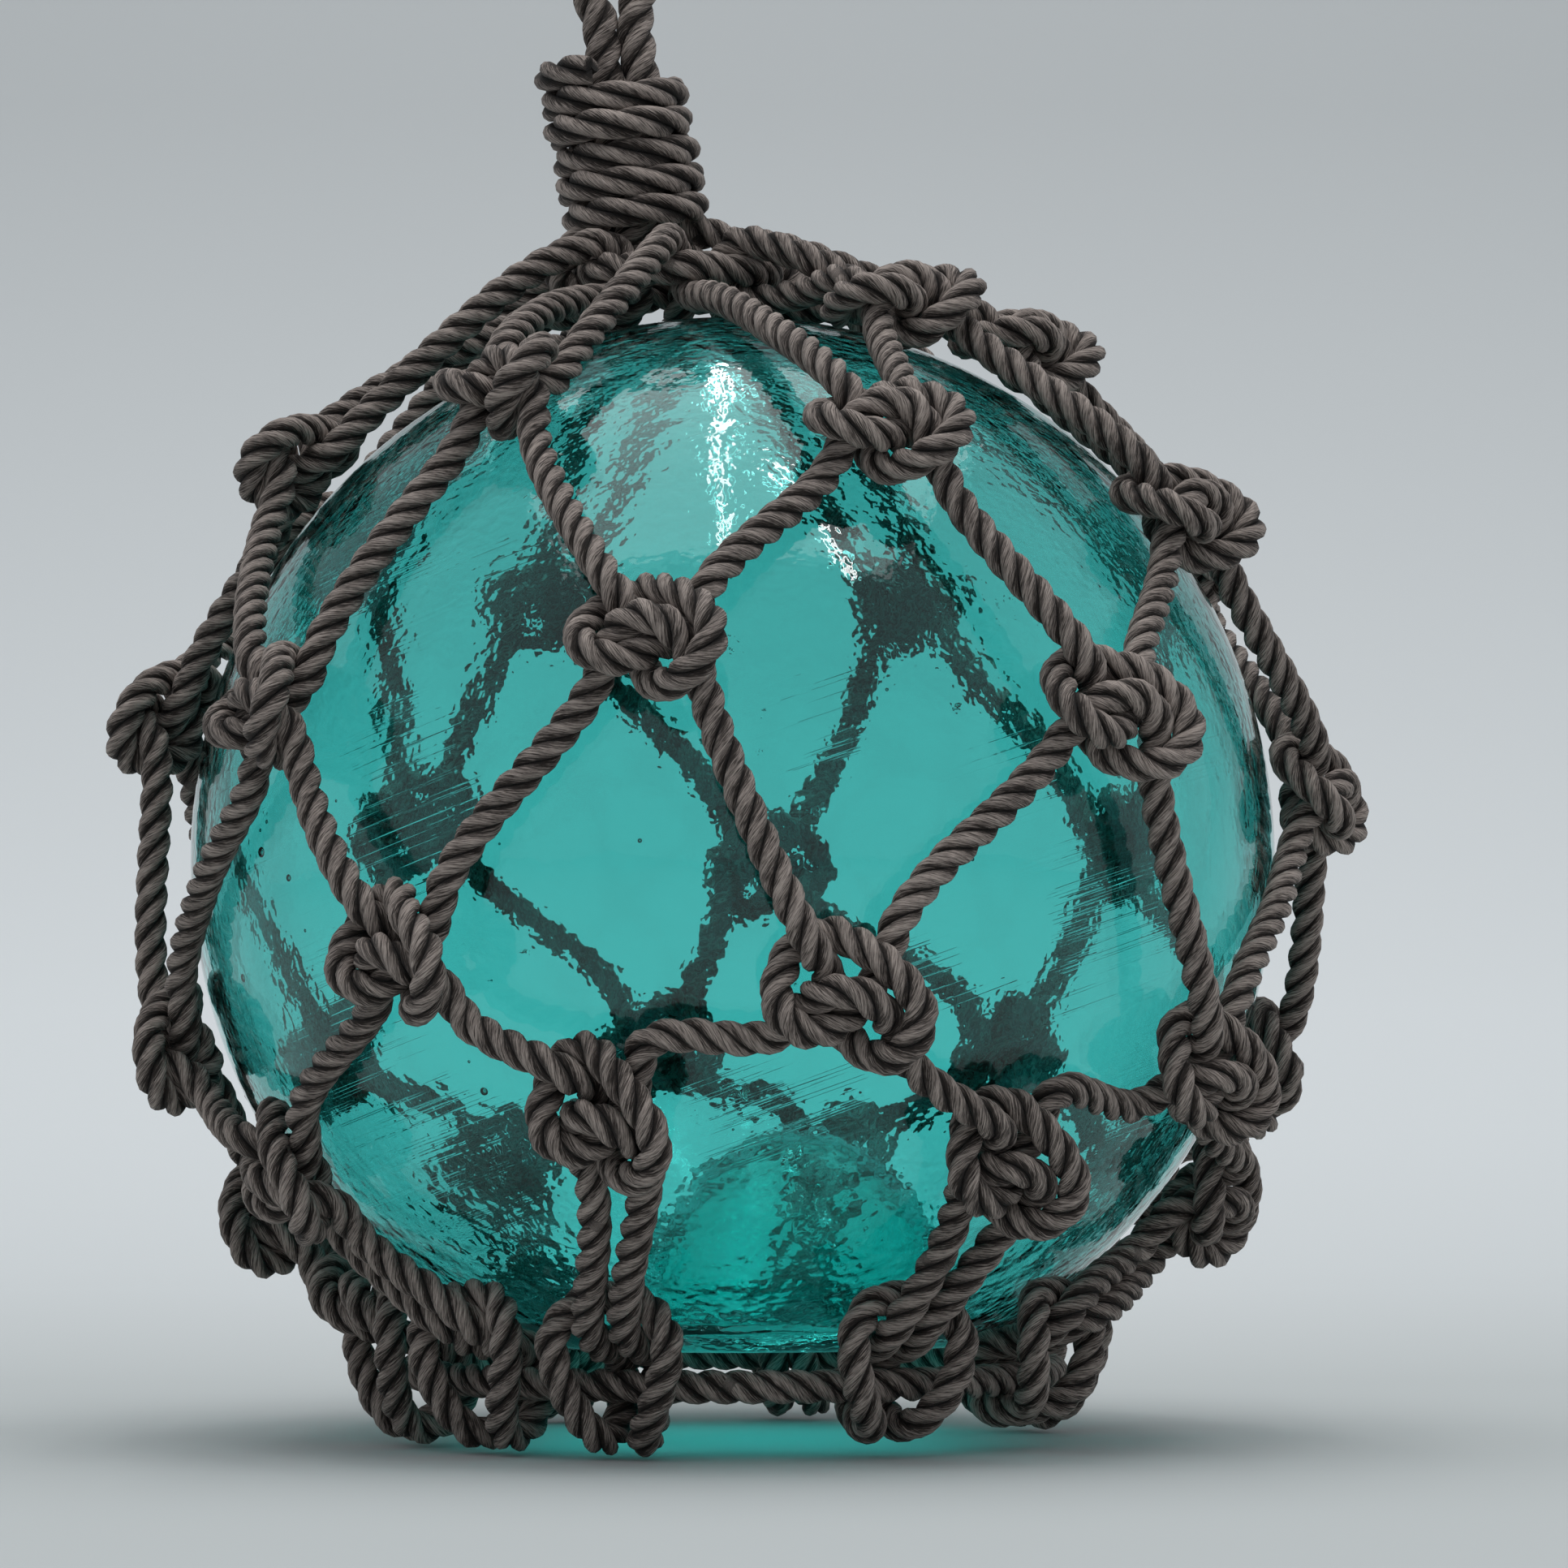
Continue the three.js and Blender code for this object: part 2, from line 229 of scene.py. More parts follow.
def smooth(points, closed, spacing):
    # a smooth line through the points, as evenly spaced points
    p = np.array(points)
    n = len(p)
    if closed:
        p = np.vstack([p[-1:], p, p[:2]])
    else:
        p = np.vstack([2 * p[0] - p[1], p, 2 * p[-1] - p[-2]])
    line = []
    for i in range(1, len(p) - 2):
        a, b, c, d = p[i - 1:i + 3]
        ab, bc, cd = (max(np.linalg.norm(v) ** 0.5, 1e-6) for v in (b - a, c - b, d - c))
        m1 = bc * ((b - a) / ab - (c - a) / (ab + bc) + (c - b) / bc)
        m2 = bc * ((c - b) / bc - (d - b) / (bc + cd) + (d - c) / cd)
        for t in np.linspace(0, 1, curveSteps, endpoint=False):
            h = (2 * t ** 3 - 3 * t ** 2 + 1, t ** 3 - 2 * t ** 2 + t,
                 3 * t ** 2 - 2 * t ** 3, t ** 3 - t ** 2)
            line.append(h[0] * b + h[1] * m1 + h[2] * c + h[3] * m2)
    line.append(p[1] if closed else p[-2])
    line = np.array(line)
    run = np.concatenate([[0], np.cumsum(np.linalg.norm(np.diff(line, axis=0), axis=1))])
    count = max(4, round(run[-1] / spacing))
    marks = np.linspace(0, run[-1], count + 1)
    even = np.stack([np.interp(marks, run, line[:, k]) for k in range(3)], axis=1)
    return even[:-1] if closed else even


def neckAt(z):
    foot, head = np.array(neck["foot"]), np.array(neck["head"])
    return foot + (head - foot) * (z - foot[2]) / (head[2] - foot[2])


# The ropes of the net

def knotMiddle(knot):
    return outward(math.radians(knot[0]), math.radians(knot[1])) * ball["radius"]


def netRopes():
    upper, second, third, lowestRow = knotRows
    crownLeft, crownRight = crownKnots
    gatherMiddle = np.array([gather["x"], gather["y"], gather["z"]])

    def arch(left, right):
        # between two knots, over the gathering line and back
        a, b = (knotMiddle(knot) for knot in (left, right))
        way = (a + b) / 2 - gatherMiddle
        azimuth = math.degrees(math.atan2(way[0], -way[1]))
        return aboutRing(azimuth, gatherMiddle, gather["radius"], hook)

    stretches = []
    for i in range(8):
        stretches.append(atKnot(upper[i], turn))
        if i == 2:
            stretches.append(atKnot(crownLeft, bight))
        elif i == 3:
            stretches.append(atKnot(crownRight, bight))
        else:
            stretches.append(arch(upper[i], upper[(i + 1) % 8]))
    ropes = {"net_crown": [(strung(stretches, True), True)]}
    for knot in crownKnots:
        loop = [atKnot(knot, turn), arch(knot, knot)]
        ropes["net_crown"].append((strung(loop, True), True))

    rounds = [
        ("net_upper", upper, second, 1),
        ("net_middle", second, third, 0),
        ("net_lower", third, lowestRow, 1),
    ]
    for name, above, below, shift in rounds:
        stretches = []
        for i in range(8):
            stretches += [atKnot(above[i], bight), atKnot(below[(i + shift) % 8], turn)]
        ropes[name] = [(strung(stretches, True), True)]

    ropes["net_foot"] = []
    ringMiddle = np.array([0.0, 0.0, -ring["drop"]])
    for knot, (azimuth, lift) in zip(lowestRow, hitches):
        hitch = aboutRing(azimuth, ringMiddle, ring["radius"], cowHitch, lift / 1000)
        ropes["net_foot"].append((strung([atKnot(knot, footBight), hitch[::-1]], True), True))

    # the line that gathers the top, and the sling that hangs it from the neck
    angles = np.linspace(0, 2 * math.pi, gather["points"], endpoint=False)
    around = [gatherMiddle + gather["radius"] * outward(a) for a in angles]
    ropes["neck_sling"] = [(around, True)]
    for azimuth in sling["azimuths"]:
        under = aboutRing(azimuth, gatherMiddle, gather["radius"], sling["under"])
        out = outward(math.radians(azimuth))
        inner, outer = (neckAt(sling["height"]) + out * sling[side] for side in ("inner", "outer"))
        rise = np.array([0.0, 0.0, sling["rise"]])
        ropes["neck_sling"].append(([inner + rise, inner] + under + [outer, outer + rise], False))
    return ropes


def settle(ropes):
    # lets the ropes push each other apart, keeps their lengths, and rests them on the ball
    lines = []
    for name, group in ropes.items():
        for points, closed in group:
            lines.append([name, smooth(points, closed, settling["bead"]), closed])
    angles = np.linspace(0, 2 * math.pi, ring["beads"], endpoint=False)
    ringLine = np.array([[0, 0, -ring["drop"]] + ring["radius"] * outward(a) for a in angles])
    lines.append(["ring", ringLine, True])
    p = np.vstack([line[1] for line in lines])
    owner = np.concatenate([np.full(len(line[1]), i) for i, line in enumerate(lines)])
    place = np.concatenate([np.arange(len(line[1])) for line in lines])
    starts = np.cumsum([0] + [len(line[1]) for line in lines])
    before, after = np.arange(len(p)) - 1, np.arange(len(p)) + 1
    fixed = owner == len(lines) - 1
    for i, (_, _, closed) in enumerate(lines):
        first, last = starts[i], starts[i + 1] - 1
        if closed:
            before[first], after[last] = last, first
        else:
            before[first], after[last] = first, last
            fixed[first:first + 3] = fixed[last - 2:last + 1] = True
    home = p.copy()
    free = ~fixed
    middles = np.array([atKnot(knot, [(0, 0, 0.6)])[0] for row in knotRows + [crownKnots] for knot in row])
    nearest = np.min(np.linalg.norm(p[:, None] - middles[None], axis=2), axis=1)
    inKnot = nearest < knotSize["reach"]
    inHitch = p[:, 2] < -settling["hitchDrop"]
    hold = np.where(inKnot, settling["hold"], settling["runHold"])
    hold = np.where(inHitch, settling["hitchHold"], hold)[:, None]
    drawn = np.linalg.norm(p[after] - p, axis=1)
    pull = np.where(inKnot, settling["knotPull"], settling["runPull"])
    tight = drawn * np.where(inHitch, 1.0, pull)
    lengths = np.array([len(line[1]) for line in lines])[owner]
    for step in range(settling["rounds"]):
        pulled = min(1.0, 2.0 * step / settling["rounds"])
        rest = drawn + (tight - drawn) * pulled
        if step % settling["search"] == 0:
            tree = kdtree.KDTree(len(p))
            for i, point in enumerate(p):
                tree.insert(point, i)
            tree.balance()
            found = []
            for i, point in enumerate(p):
                for _, j, _ in tree.find_range(point, size * settling["near"]):
                    if j > i:
                        gapAlong = abs(place[i] - place[j])
                        gapAlong = min(gapAlong, lengths[i] - gapAlong)
                        if owner[i] != owner[j] or gapAlong > settling["apart"]:
                            found.append((i, j))
            pairs = np.array(found)
        bend = (p[before] + p[after]) / 2 - p
        p[free] += settling["bend"] * bend[free]
        p[free] += (hold * (home - p))[free]
        i, j = pairs[:, 0], pairs[:, 1]
        for _ in range(settling["passes"]):
            apart = p[j] - p[i]
            distance = np.maximum(np.linalg.norm(apart, axis=1), 1e-6)
            push = np.maximum(0, size * settling["touch"] - distance) * 0.5
            move = apart / distance[:, None] * push[:, None]
            shift, hits = np.zeros_like(p), np.zeros(len(p))
            np.add.at(shift, i, -move)
            np.add.at(shift, j, move)
            np.add.at(hits, i, push > 0)
            np.add.at(hits, j, push > 0)
            shift /= np.maximum(1, hits * settling["crowding"])[:, None]
            p[free] += shift[free]
        stretch = p[after] - p
        length = np.maximum(np.linalg.norm(stretch, axis=1), 1e-6)
        fix = stretch * ((length - rest) / length * settling["stretch"])[:, None]
        shift = np.zeros_like(p)
        np.add.at(shift, np.arange(len(p)), fix)
        np.add.at(shift, after, -fix)
        p[free] += shift[free]
        reach = np.linalg.norm(p, axis=1)
        inside = free & (reach < lowest)
        p[inside] *= (lowest / reach[inside])[:, None]
        p[:, 2] = np.maximum(p[:, 2], -ball["floorDrop"] + size / 2)
    moved = np.linalg.norm(p - home, axis=1)
    print("settled", len(p), "points, moved at most", round(float(moved.max()) * 1000, 1), "mm")
    settled = {}
    for i, (name, _, closed) in enumerate(lines[:-1]):
        settled.setdefault(name, []).append((p[starts[i]:starts[i + 1]], closed))
    return settled


# Geometry Nodes

class Tree:
    # builds a Geometry Nodes tree: node() takes a node's type, its inputs by name, and its settings
    def __init__(self, name, inputs):
        self.tree = bpy.data.node_groups.new(name, "GeometryNodeTree")
        face = self.tree.interface
        face.new_socket("Geometry", in_out="OUTPUT", socket_type="NodeSocketGeometry")
        self.keys = {}
        for label, kind in [("Geometry", "Geometry"), *inputs.items()]:
            socket = face.new_socket(label, in_out="INPUT", socket_type="NodeSocket" + kind)
            self.keys[label] = socket.identifier
        self.given = self.tree.nodes.new("NodeGroupInput").outputs
        self.result = self.tree.nodes.new("NodeGroupOutput")

    def node(self, kind, links=None, **settings):
        made = self.tree.nodes.new(kind)
        for key, value in settings.items():
            setattr(made, key, value)
        for key, value in (links or {}).items():
            socket = made.inputs[key]
            if isinstance(value, bpy.types.NodeSocket):
                self.tree.links.new(value, socket)
            else:
                socket.default_value = value
        return made

    def math(self, operation, a, b=0.0):
        return self.node("ShaderNodeMath", {0: a, 1: b}, operation=operation).outputs[0]

    def vector(self, operation, a, b=None, scale=None):
        links = {0: a}
        if b is not None:
            links[1] = b
        if scale is not None:
            links["Scale"] = scale
        return self.node("ShaderNodeVectorMath", links, operation=operation).outputs[0]


def laidRopeTree():
    t = Tree("laidRope", {
        "Lay": "Float", "Strands": "Int", "Strand radius": "Float", "Strand offset": "Float",
        "Sides": "Int", "Step": "Float", "Fibre lay": "Float", "Uneven": "Float",
        "Swell scale": "Float", "Finish": "Material",
    })
    given = t.given
    spline = t.node("GeometryNodeCurveSplineType", {"Curve": given["Geometry"]}, spline_type="CATMULL_ROM")
    even = t.node("GeometryNodeResampleCurve", {
        "Curve": spline.outputs[0], "Length": given["Step"]}, mode="LENGTH")
    strands = t.node("GeometryNodeDuplicateElements", {
        "Geometry": even.outputs[0], "Amount": given["Strands"]}, domain="SPLINE")
    # each strand runs round the rope's line, a whole number of turns on a closed rope
    factor = t.node("GeometryNodeSplineParameter").outputs["Factor"]
    whole = t.node("GeometryNodeSplineLength").outputs["Length"]
    turns = t.math("ROUND", t.math("DIVIDE", whole, given["Lay"]))
    share = t.math("DIVIDE", strands.outputs["Duplicate Index"], given["Strands"])
    angle = t.math("MULTIPLY", t.math("ADD", t.math("MULTIPLY", factor, turns), share), 2 * math.pi)
    normal = t.node("GeometryNodeInputNormal").outputs[0]
    tangent = t.node("GeometryNodeInputTangent").outputs[0]
    side = t.vector("CROSS_PRODUCT", tangent, normal)
    reach = given["Strand offset"]
    position = t.node("GeometryNodeInputPosition").outputs[0]
    middle = t.node("GeometryNodeStoreNamedAttribute", {
        "Geometry": strands.outputs[0], "Name": "middle", "Value": position,
    }, data_type="FLOAT_VECTOR", domain="POINT")
    out = t.vector("ADD",
                   t.vector("SCALE", normal, scale=t.math("MULTIPLY", t.math("COSINE", angle), reach)),
                   t.vector("SCALE", side, scale=t.math("MULTIPLY", t.math("SINE", angle), reach)))
    moved = t.node("GeometryNodeSetPosition", {"Geometry": middle.outputs[0], "Offset": out})
    swell = t.node("ShaderNodeTexNoise", {
        "Vector": position, "Scale": given["Swell scale"], "Detail": 1.0}).outputs[0]
    swell = t.math("ADD", t.math("MULTIPLY", t.math("SUBTRACT", swell, 0.5), given["Uneven"]), 1.0)
    swollen = t.node("GeometryNodeSetCurveRadius", {"Curve": moved.outputs[0], "Radius": swell})
    along = t.node("GeometryNodeStoreNamedAttribute", {
        "Geometry": swollen.outputs[0], "Name": "along",
        "Value": t.node("GeometryNodeSplineParameter").outputs["Length"],
    }, data_type="FLOAT", domain="POINT")
    profile = t.node("GeometryNodeCurvePrimitiveCircle", {
        "Resolution": given["Sides"], "Radius": given["Strand radius"]})
    rim = t.node("GeometryNodeStoreNamedAttribute", {
        "Geometry": profile.outputs[0], "Name": "rim", "Value": position},
        data_type="FLOAT_VECTOR", domain="POINT")
    tube = t.node("GeometryNodeCurveToMesh", {
        "Curve": along.outputs[0], "Profile Curve": rim.outputs[0], "Fill Caps": True})
    # a place for the yarns, which wind round each strand the other way
    rimAt, middleAt = (
        t.node("GeometryNodeInputNamedAttribute", {"Name": stored}, data_type="FLOAT_VECTOR").outputs[0]
        for stored in ("rim", "middle"))
    alongAt = t.node("GeometryNodeInputNamedAttribute", {"Name": "along"}, data_type="FLOAT").outputs[0]
    turnPerLength = t.math("DIVIDE", -2 * math.pi, given["Fibre lay"])
    spun = t.node("ShaderNodeVectorRotate", {
        "Vector": rimAt, "Axis": (0, 0, 1), "Angle": t.math("MULTIPLY", alongAt, turnPerLength)},
        rotation_type="AXIS_ANGLE").outputs[0]
    scaled = t.vector("DIVIDE", spun, t.node("ShaderNodeCombineXYZ", {
        "X": given["Strand radius"], "Y": given["Strand radius"], "Z": 1.0}).outputs[0])
    lengthwise = t.node("ShaderNodeCombineXYZ", {"X": 0.0, "Y": 0.0, "Z": alongAt}).outputs[0]
    fibre = t.node("GeometryNodeStoreNamedAttribute", {
        "Geometry": tube.outputs[0], "Name": "fibre", "Value": t.vector("ADD", scaled, lengthwise)},
        data_type="FLOAT_VECTOR", domain="POINT")
    # how far out on the rope each point lies: 0 at its middle, 1 on the strands' crowns
    away = t.node("ShaderNodeVectorMath", {0: position, 1: middleAt}, operation="DISTANCE").outputs[1]
    farthest = t.math("ADD", given["Strand radius"], given["Strand offset"])
    # the rope's finish paints shade into the grooves from this, and a paler crown
    crowned = t.node("GeometryNodeStoreNamedAttribute", {
        "Geometry": fibre.outputs[0], "Name": "crown", "Value": t.math("DIVIDE", away, farthest)},
        data_type="FLOAT", domain="POINT")
    soft = t.node("GeometryNodeSetShadeSmooth", {"Geometry": crowned.outputs[0]})
    real = t.node("GeometryNodeRealizeInstances", {"Geometry": soft.outputs[0]})
    dressed = t.node("GeometryNodeSetMaterial", {"Geometry": real.outputs[0], "Material": given["Finish"]})
    t.tree.links.new(dressed.outputs[0], t.result.inputs[0])
    return t


def curveOf(name, lines):
    data = bpy.data.curves.new(name, "CURVE")
    data.dimensions = "3D"
    for points, closed in lines:
        spline = data.splines.new("POLY")
        spline.points.add(len(points) - 1)
        for point, where in zip(spline.points, points):
            point.co = (*(Vector(where) + centre), 1)
        spline.use_cyclic_u = closed
    made = bpy.data.objects.new(name, data)
    bpy.context.scene.collection.objects.link(made)
    return made


def laidRope(name, lines, finish, **changes):
    values = {
        "Lay": ropeSize["lay"], "Strands": ropeSize["strands"], "Strand radius": ropeSize["strandRadius"],
        "Strand offset": ropeSize["strandOffset"], "Sides": ropeSize["sides"], "Step": ropeSize["step"],
        "Fibre lay": ropeSize["fibreLay"], "Uneven": ropeSize["uneven"],
        "Swell scale": ropeSize["swellScale"], "Finish": finish,
    }
    values.update(changes)
    source = curveOf(name + "_line", lines)
    modifier = source.modifiers.new("rope", "NODES")
    modifier.node_group = ropeTree.tree
    for label, value in values.items():
        modifier[ropeTree.keys[label]] = value
    scene.view_layers[0].update()
    mesh = bpy.data.meshes.new_from_object(source.evaluated_get(bpy.context.evaluated_depsgraph_get()))
    mesh.name = name
    bpy.data.objects.remove(source)
    piece = bpy.data.objects.new(name, mesh)
    scene.collection.objects.link(piece)
    print(name, len(mesh.polygons), "faces")
    return piece


# Materials

class Wire:
    # wraps a socket so that sums on it add Math nodes
    def __init__(self, shader, socket):
        self.shader, self.socket = shader, socket

    def sum(self, operation, a, b):
        return self.shader.add("ShaderNodeMath", {0: a, 1: b}, operation=operation)

    def __add__(self, other): return self.sum("ADD", self, other)
    def __radd__(self, other): return self.sum("ADD", other, self)
    def __sub__(self, other): return self.sum("SUBTRACT", self, other)
    def __rsub__(self, other): return self.sum("SUBTRACT", other, self)
    def __mul__(self, other): return self.sum("MULTIPLY", self, other)
    def __rmul__(self, other): return self.sum("MULTIPLY", other, self)
    def __pow__(self, other): return self.sum("POWER", self, other)


class Shader:
    def __init__(self, name, settings=None):
        self.material = bpy.data.materials.new(name)
        self.material.use_nodes = True
        self.nodes = self.material.node_tree.nodes
        self.main = self.nodes["Principled BSDF"]
        for key, value in (settings or {}).items():
            self.main.inputs[key].default_value = value

    def add(self, kind, links=None, output=0, stops=None, **settings):
        made = self.nodes.new(kind)
        for key, value in settings.items():
            setattr(made, key, value)
        if stops:
            ramp = made.color_ramp.elements
            while len(ramp) < len(stops):
                ramp.new(1.0)
            for element, (at, colour) in zip(ramp, stops):
                element.position, element.color = at, (*colour, 1)
        for key, value in (links or {}).items():
            if isinstance(value, Wire):
                self.material.node_tree.links.new(value.socket, made.inputs[key])
            else:
                made.inputs[key].default_value = value
        return Wire(self, made.outputs[output])

    def noise(self, vector, scale, detail, **links):
        return self.add("ShaderNodeTexNoise", {"Vector": vector, "Scale": scale, "Detail": detail, **links})

    def spread(self, value, low, high, start=0.0, end=1.0):
        return self.add("ShaderNodeMapRange", {0: value, 1: low, 2: high, 3: start, 4: end})

    def mix(self, amount, a, b):
        # a colour between a and b, each a wire or a plain colour
        a, b = (c if isinstance(c, Wire) else (*c, 1) for c in (a, b))
        return self.add("ShaderNodeMix", {0: amount, 6: a, 7: b}, output=2, data_type="RGBA")

    def feed(self, **wires):
        for key, wire in wires.items():
            self.material.node_tree.links.new(wire.socket, self.main.inputs[key.replace("_", " ")])


ropeLook = {
    "dark": (0.008, 0.006, 0.005), "mid": (0.046, 0.035, 0.030), "pale": (0.50, 0.42, 0.375),
    # groove and crowns set the painted shade in the grooves and the paler crowns, partly wear and partly
    # painted highlight
    "fine": 1.25, "broad": 0.25, "patches": 0.3, "crowns": 0.55, "darker": 0.73,
    "groove": 0.5,  # how far out on the rope the grooves end
    "stretch": 45.0,  # of the fibres, against their width
    "relief": 0.0008,
}


def ropeFinish():
    s = Shader("taupe_rope", {
        "Sheen Weight": 0.05, "Sheen Roughness": 0.45, "Specular IOR Level": 0.28,
    })
    fibre = s.add("ShaderNodeAttribute", attribute_name="fibre", output=1)
    crown = s.add("ShaderNodeAttribute", attribute_name="crown", output=2)
    place = s.add("ShaderNodeTexCoord", output=3)
    stretched = s.add("ShaderNodeVectorMath", {
        0: fibre, 1: (1.0, 1.0, ropeLook["stretch"])}, operation="MULTIPLY")
    fine = s.noise(stretched, 7.0, 3.0, Roughness=0.65)
    broad = s.noise(stretched, 1.6, 2.0)
    patches = s.noise(place, 22.0, 3.0)
    # painted shade dark down in the grooves between the strands, and paler crowns, partly wear and partly
    # painted highlight
    raised = s.spread(crown, ropeLook["groove"], 1.0)
    amount = fine * ropeLook["fine"] + broad * ropeLook["broad"] + patches * ropeLook["patches"]
    amount = amount + raised * ropeLook["crowns"] - ropeLook["darker"]
    colour = s.add("ShaderNodeValToRGB", {0: amount}, stops=[
        (0.22, ropeLook["dark"]), (0.52, ropeLook["mid"]), (0.86, ropeLook["pale"])])
    bump = s.add("ShaderNodeBump", {
        "Height": fine + broad * 0.5, "Strength": 0.8, "Distance": ropeLook["relief"]})
    s.feed(Base_Color=colour, Roughness=0.55 + fine * 0.35, Normal=bump)
    return s.material


glassLook = {
    "tint": (0.262, 0.805, 0.775), "edgeTint": (0.06, 0.40, 0.39),
    "wide": 0.30, "peel": 0.17, "sparkle": 0.045,  # ripples, from broad to fine
    "kickUp": 0.40,
    "scratches": 0.012,
    "lowBand": (0.17, 0.29), "lowRipple": 0.45, "topRipple": 1.5,
    "relief": 0.0022,
}


def glassFinish():
    s = Shader("teal_blown_glass", {
        "Transmission Weight": 1.0, "IOR": 1.5, "Roughness": 0.0,
    })
    place = s.add("ShaderNodeTexCoord", output=3)
    near = s.add("ShaderNodeLayerWeight", {"Blend": 0.35}, output=1)
    tint = s.mix(near ** 3.0, glassLook["tint"], glassLook["edgeTint"])
    # the skin is rippled most near the top and on the kick-up
    height = s.add("ShaderNodeSeparateXYZ", {0: place}, output=2)
    top = s.spread(height, *glassLook["lowBand"], glassLook["lowRipple"], glassLook["topRipple"])
    foot = s.spread(height, 0.035, 0.10, 1.0, 0.0)
    wide = s.noise(place, 34.0, 1.0)
    peel = s.noise(place, 120.0, 2.0, Roughness=0.6)
    sparkle = s.noise(place, 430.0, 1.0)
    # thin scratches, in patches
    turned = s.add("ShaderNodeVectorRotate", {"Vector": place, "Angle": 0.35}, rotation_type="Y_AXIS")
    drawn = s.add("ShaderNodeVectorMath", {0: turned, 1: (14.0, 14.0, 1500.0)}, operation="MULTIPLY")
    scratches = s.spread(s.noise(drawn, 1.0, 0.0), 0.64, 0.74)
    spots = s.spread(s.noise(place, 16.0, 1.0), 0.54, 0.62)
    skin = wide * glassLook["wide"] + (peel * glassLook["peel"] + sparkle * glassLook["sparkle"]) * top
    skin = skin + peel * foot * glassLook["kickUp"] + scratches * spots * glassLook["scratches"]
    bump = s.add("ShaderNodeBump", {"Height": skin, "Strength": 0.5, "Distance": glassLook["relief"]})
    s.feed(Base_Color=tint, Normal=bump)
    return s.material


# the paper's tone with painted light: darker on the floor, lighter low on the wall, darker higher up
paperToneAndPaintedLight = {"floor": (0.575, 0.605, 0.605), "wall": (0.90, 0.93, 0.94), "high": (0.63, 0.65, 0.655)}


def paperFinish():
    # painted light: the floor is painted a little darker than the wall behind it, and the wall's painted
    # light fades upwards
    s = Shader("pale_paper", {"Roughness": 0.9})
    place = s.add("ShaderNodeTexCoord", output=3)
    back, high = (s.add("ShaderNodeSeparateXYZ", {0: place}, output=axis) for axis in (1, 2))
    shade = s.mix(s.spread(back, 0.3, 1.7), paperToneAndPaintedLight["floor"], paperToneAndPaintedLight["wall"])
    shade = s.mix(s.spread(high, 0.08, 0.8), shade, paperToneAndPaintedLight["high"])
    grain = s.noise(place, 3.0, 3.0)
    s.feed(Base_Color=s.mix(grain * 0.03, shade, (0.5, 0.5, 0.5)))
    return s.material


# The glass

kickUp = {"x": 0.018, "y": 0.004, "mouth": 0.042, "height": 0.054, "rings": 22, "roundness": 1.2}
seeds = {
    "count": 130, "seed": 5,
    "smallest": 0.00035, "largest": 0.0016, "rarity": 3,  # the higher, the fewer large ones
    "lowest": -0.6, "highest": 0.98,  # of the radius
}


def loft(rings, segments, inwards):
    # closed surface through rings of (x, y, z, radius), the first and last with no radius
    vertices, faces = [], []
    for x, y, z, radius in rings:
        if radius == 0:
            vertices.append((x, y, z))
            continue
        for i in range(segments):
            angle = 2 * math.pi * i / segments
            vertices.append((x + radius * math.cos(angle), y + radius * math.sin(angle), z))
    first, last = 1, len(vertices) - 1
    bands = len(rings) - 3
    for i in range(segments):
        j = (i + 1) % segments
        faces.append((0, first + i, first + j))
        for b in range(bands):
            k = first + b * segments
            faces.append((k + i, k + segments + i, k + segments + j, k + j))
        k = first + bands * segments
        faces.append((k + i, last, k + j))
    if inwards:
        faces = [face[::-1] for face in faces]
    return vertices, faces


def glassRings(inset):
    radius, drop = ball["radius"] - inset, ball["baseDrop"] - inset * ball["baseWall"]
    sag = 0.0 if inset else ball["baseSag"]
    edge = math.asin(drop / radius)
    rings = [(0.0, 0.0, radius, 0.0)]
    for i in range(1, ball["rings"]):
        latitude = math.pi / 2 - (math.pi / 2 + edge) * i / (ball["rings"] - 1)
        rings.append((0.0, 0.0, radius * math.sin(latitude), radius * math.cos(latitude)))
    mouth = kickUp["mouth"] + inset
    rim = radius * math.cos(edge)
    for share in (0.12, 0.35, 0.65, 0.9):
        level = -drop - sag * (1 - share)
        rings.append((kickUp["x"] * share, kickUp["y"] * share, level, rim + (mouth - rim) * share))
    for i in range(kickUp["rings"]):
        angle = math.pi / 2 * i / kickUp["rings"]
        level = -ball["baseDrop"] + inset + kickUp["height"] * math.sin(angle)
        width = mouth * math.cos(angle) ** kickUp["roundness"]
        rings.append((kickUp["x"], kickUp["y"], level, width))
    rings.append((kickUp["x"], kickUp["y"], -ball["baseDrop"] + inset + kickUp["height"], 0.0))
    return rings


def makeSeeds():
    # round bubbles shut in the glass wall, as (points, faces) whose faces look into the bubble
    bubble = bmesh.new()
    bmesh.ops.create_icosphere(bubble, subdivisions=2, radius=1.0)
    shape = [vertex.co.copy() for vertex in bubble.verts]
    sides = [[vertex.index for vertex in face.verts][::-1] for face in bubble.faces]
    bubble.free()
    chance = np.random.default_rng(seeds["seed"])
    made = []
    for _ in range(seeds["count"]):
        longitude, rise = chance.uniform(0, 2 * math.pi), chance.uniform(seeds["lowest"], seeds["highest"])
        share = chance.uniform() ** seeds["rarity"]
        radius = seeds["smallest"] + (seeds["largest"] - seeds["smallest"]) * share
        where = Vector(outward(longitude, math.asin(rise)) * (ball["radius"] - ball["wall"] / 2))
        made.append(([where + point * radius for point in shape], sides))
    return made


